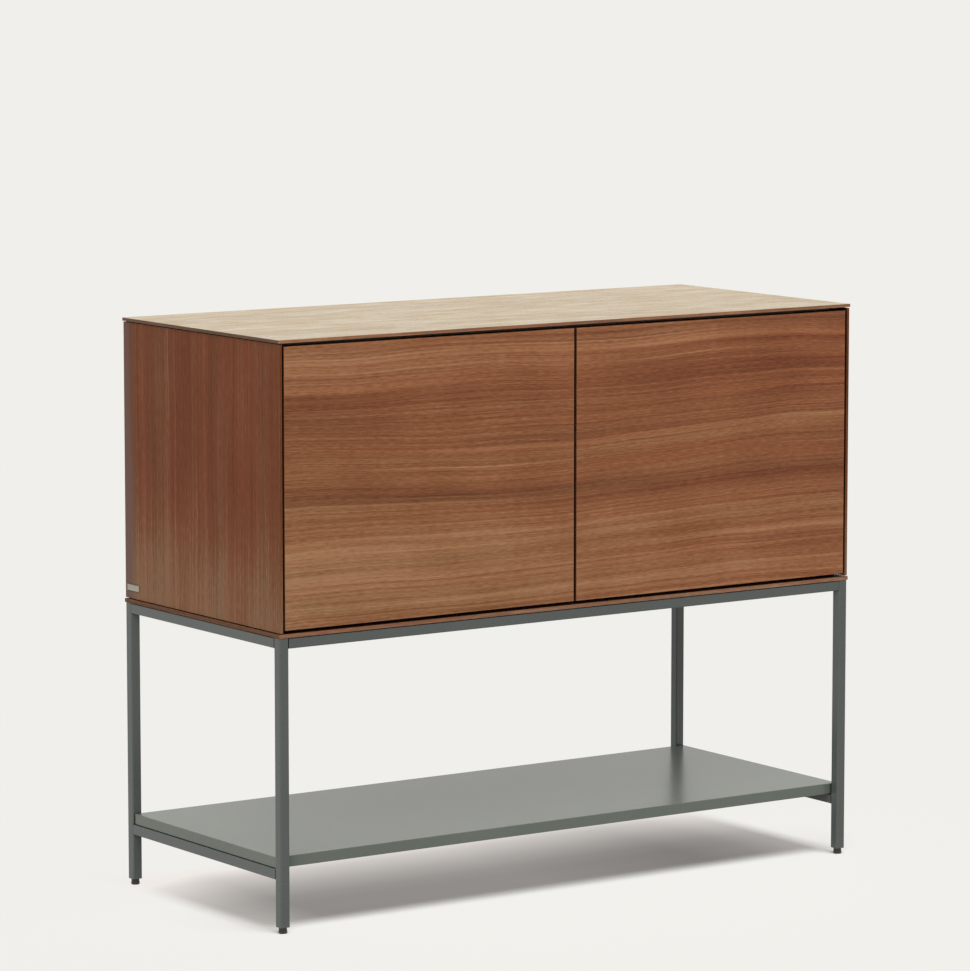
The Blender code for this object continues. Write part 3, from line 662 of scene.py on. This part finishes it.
for side, label in ((-1, "left"), (1, "right")):
    panel_low, panel_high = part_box(f"{label}_side_panel")
    panel_face = panel_high.x if side < 0 else panel_low.x
    inwards = (-side, 0, 0)
    for level in ("lower", "upper"):
        hinge = f"{label}_{level}_hinge"
        cup = middle_of(hinge + "_cup")
        cup_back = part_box(hinge + "_cup")[1].y
        plate = middle_of(hinge + "_plate")
        for way, word in ((-0.5, "first"), (0.5, "second")):
            on_cup = (cup.x, cup_back, cup.z + way * cup_screw_spread)
            screw_head(f"{hinge}_cup_{word}_screw", cup_screw_radius, on_cup, (0, 1, 0), f"{label}_door")
            on_plate = (panel_face - side * hinge_plate_rise, plate.y,
                        plate.z + way * hinge_plate_screw_spread)
            screw_head(f"{hinge}_plate_{word}_screw", hinge_plate_screw_radius, on_plate, inwards,
                       "case_and_frame")
            on_arm = (panel_face - side * hinge_arm_rise, plate.y + way * hinge_arm_screw_spread, plate.z)
            screw_head(f"{hinge}_arm_{word}_screw", hinge_arm_screw_radius, on_arm, inwards, "case_and_frame")
    latch = middle_of(f"{label}_latch_housing")
    latch_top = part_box(f"{label}_latch_housing")[1].z
    for way, word in ((-0.5, "left"), (0.5, "right")):
        on_latch = (latch.x + way * latch_screw_spread, latch.y, latch_top - latch_plate_rise)
        screw_head(f"{label}_latch_{word}_screw", latch_screw_radius, on_latch, (0, 0, -1), "case_and_frame")


def seen_or_mirrored(nodes, links):
    """One for what the camera sees, directly or in gloss, and zero for light on its way to a surface."""
    path = nodes.new("ShaderNodeLightPath")
    total = path.outputs["Is Camera Ray"]
    for name in ("Is Glossy Ray", "Is Transmission Ray"):
        step = nodes.new("ShaderNodeMath")
        step.operation = "MAXIMUM"
        links.new(total, step.inputs[0])
        links.new(path.outputs[name], step.inputs[1])
        total = step.outputs[0]
    return total


# The share of the floor's tone that is its own glow, from the front of the object to its back, and what is
# added to it from left to right, over the usual amount
glow_by_depth = [(0.00, 0.30), (0.38, 0.30), (0.50, 0.34), (0.66, 0.47), (0.86, 0.70), (1.00, 0.97)]
glow_by_width = [(0.00, 0.34), (0.12, 0.10), (0.50, 0.11), (0.80, 0.03), (0.90, 0.10), (0.97, 0.24)]
glow_usual = 0.10


def shadow_depth(made):
    """How light a full shadow on the floor is: less so under the front of the object."""
    place = made.node("SeparateXYZ", made.places.outputs["Object"])
    inwards = made.stretch(place.outputs["Y"], cad_low.y, cad_high.y)
    sideways = made.stretch(place.outputs["X"], cad_low.x, cad_high.x)
    more = made.subtract(made.ramp(sideways, glow_by_width), glow_usual)
    return made.math("ADD", made.ramp(inwards, glow_by_depth), more, clamp=True)


def make_floor():
    """A plain pale floor. Part of what the camera sees of it is its own glow, so shadows on it stay soft."""
    mesh = bpy.data.meshes.new("floor")
    shape = bmesh.new()
    bmesh.ops.create_grid(shape, x_segments=1, y_segments=1, size=floor_reach)
    shape.to_mesh(mesh)
    shape.free()
    made = Finish("floor", {"Roughness": 1.0, "Specular IOR Level": 0.0, "Emission Strength": 1.0})
    share = made.blend(shadow_depth(made), black, shadow_tint)
    glow = made.blend(1.0, share, pale, "MULTIPLY")
    lit = made.blend(1.0, pale, glow, "SUBTRACT")
    seen = seen_or_mirrored(made.nodes, made.links)
    made.set("Base Color", made.blend(seen, floor_bounce, lit))
    made.set("Emission Color", made.blend(seen, black, glow))
    mesh.materials.append(made.material)
    floor = bpy.data.objects.new("floor", mesh)
    bpy.context.scene.collection.objects.link(floor)
    return floor


def make_backdrop():
    """The pale studio that the camera and the gloss see; the lamps alone light the object."""
    world = bpy.data.worlds.new("studio")
    world.use_nodes = True
    nodes, links = world.node_tree.nodes, world.node_tree.links
    tone = nodes.new("ShaderNodeMix")
    tone.data_type = "RGBA"
    tone.inputs[6].default_value = (*black, 1.0)
    tone.inputs[7].default_value = (*pale, 1.0)
    links.new(seen_or_mirrored(nodes, links), tone.inputs[0])
    links.new(tone.outputs[2], nodes["Background"].inputs["Color"])
    world.cycles.sampling_method = "NONE"
    bpy.context.scene.world = world


def make_lamp(name, level, come_from, spread, lit):
    """A very wide soft lamp far away, shining from the given direction on what the collection says."""
    lamp = bpy.data.lights.new(name, "SUN")
    lamp.energy = level
    lamp.angle = math.radians(spread)
    holder = bpy.data.objects.new(name, lamp)
    holder.rotation_euler = Vector(come_from).to_track_quat("Z", "Y").to_euler()
    holder.visible_glossy = False
    holder.light_linking.receiver_collection = lit
    bpy.context.scene.collection.objects.link(holder)
    return holder


def linked(name, objects, state):
    """A collection for light linking: these objects alone, or everything but them."""
    made = bpy.data.collections.new(name)
    for thing in objects:
        made.objects.link(thing)
    for member in made.collection_objects:
        member.light_linking.link_state = state
    return made


floor = make_floor()
make_backdrop()
but_floor = linked("but_the_floor", [floor], "EXCLUDE")
make_lamp("sky_light", sky_level, (0, 0, 1), sky_spread, but_floor)
make_lamp("key_light", key_level, key_from, key_spread, but_floor)
make_lamp("fill_light", fill_level, fill_from, fill_spread, but_floor)
floor_light = make_lamp("floor_light", floor_light_level, floor_light_from, floor_light_spread,
                        linked("floor_alone", [floor], "INCLUDE"))
near_floor = [node for name, node in frame["nodes"].items()
              if name.endswith(("_leg", "_foot", "_lower_bar", "steel_shelf"))]
floor_light.light_linking.blocker_collection = linked("near_the_floor", near_floor, "INCLUDE")

lens = bpy.data.cameras.new("camera")
lens.sensor_width = sensor_width
lens.lens = focal_length_in_pixels * sensor_width / photo_height
lens.clip_end = 2 * floor_reach
camera = bpy.data.objects.new("camera", lens)
camera.location = camera_place
camera.rotation_euler = [math.radians(turn) for turn in (90 - camera_pitch, 0, -camera_yaw)]
bpy.context.scene.collection.objects.link(camera)
bpy.context.scene.camera = camera

bpy.context.scene.view_settings.view_transform = "Standard"
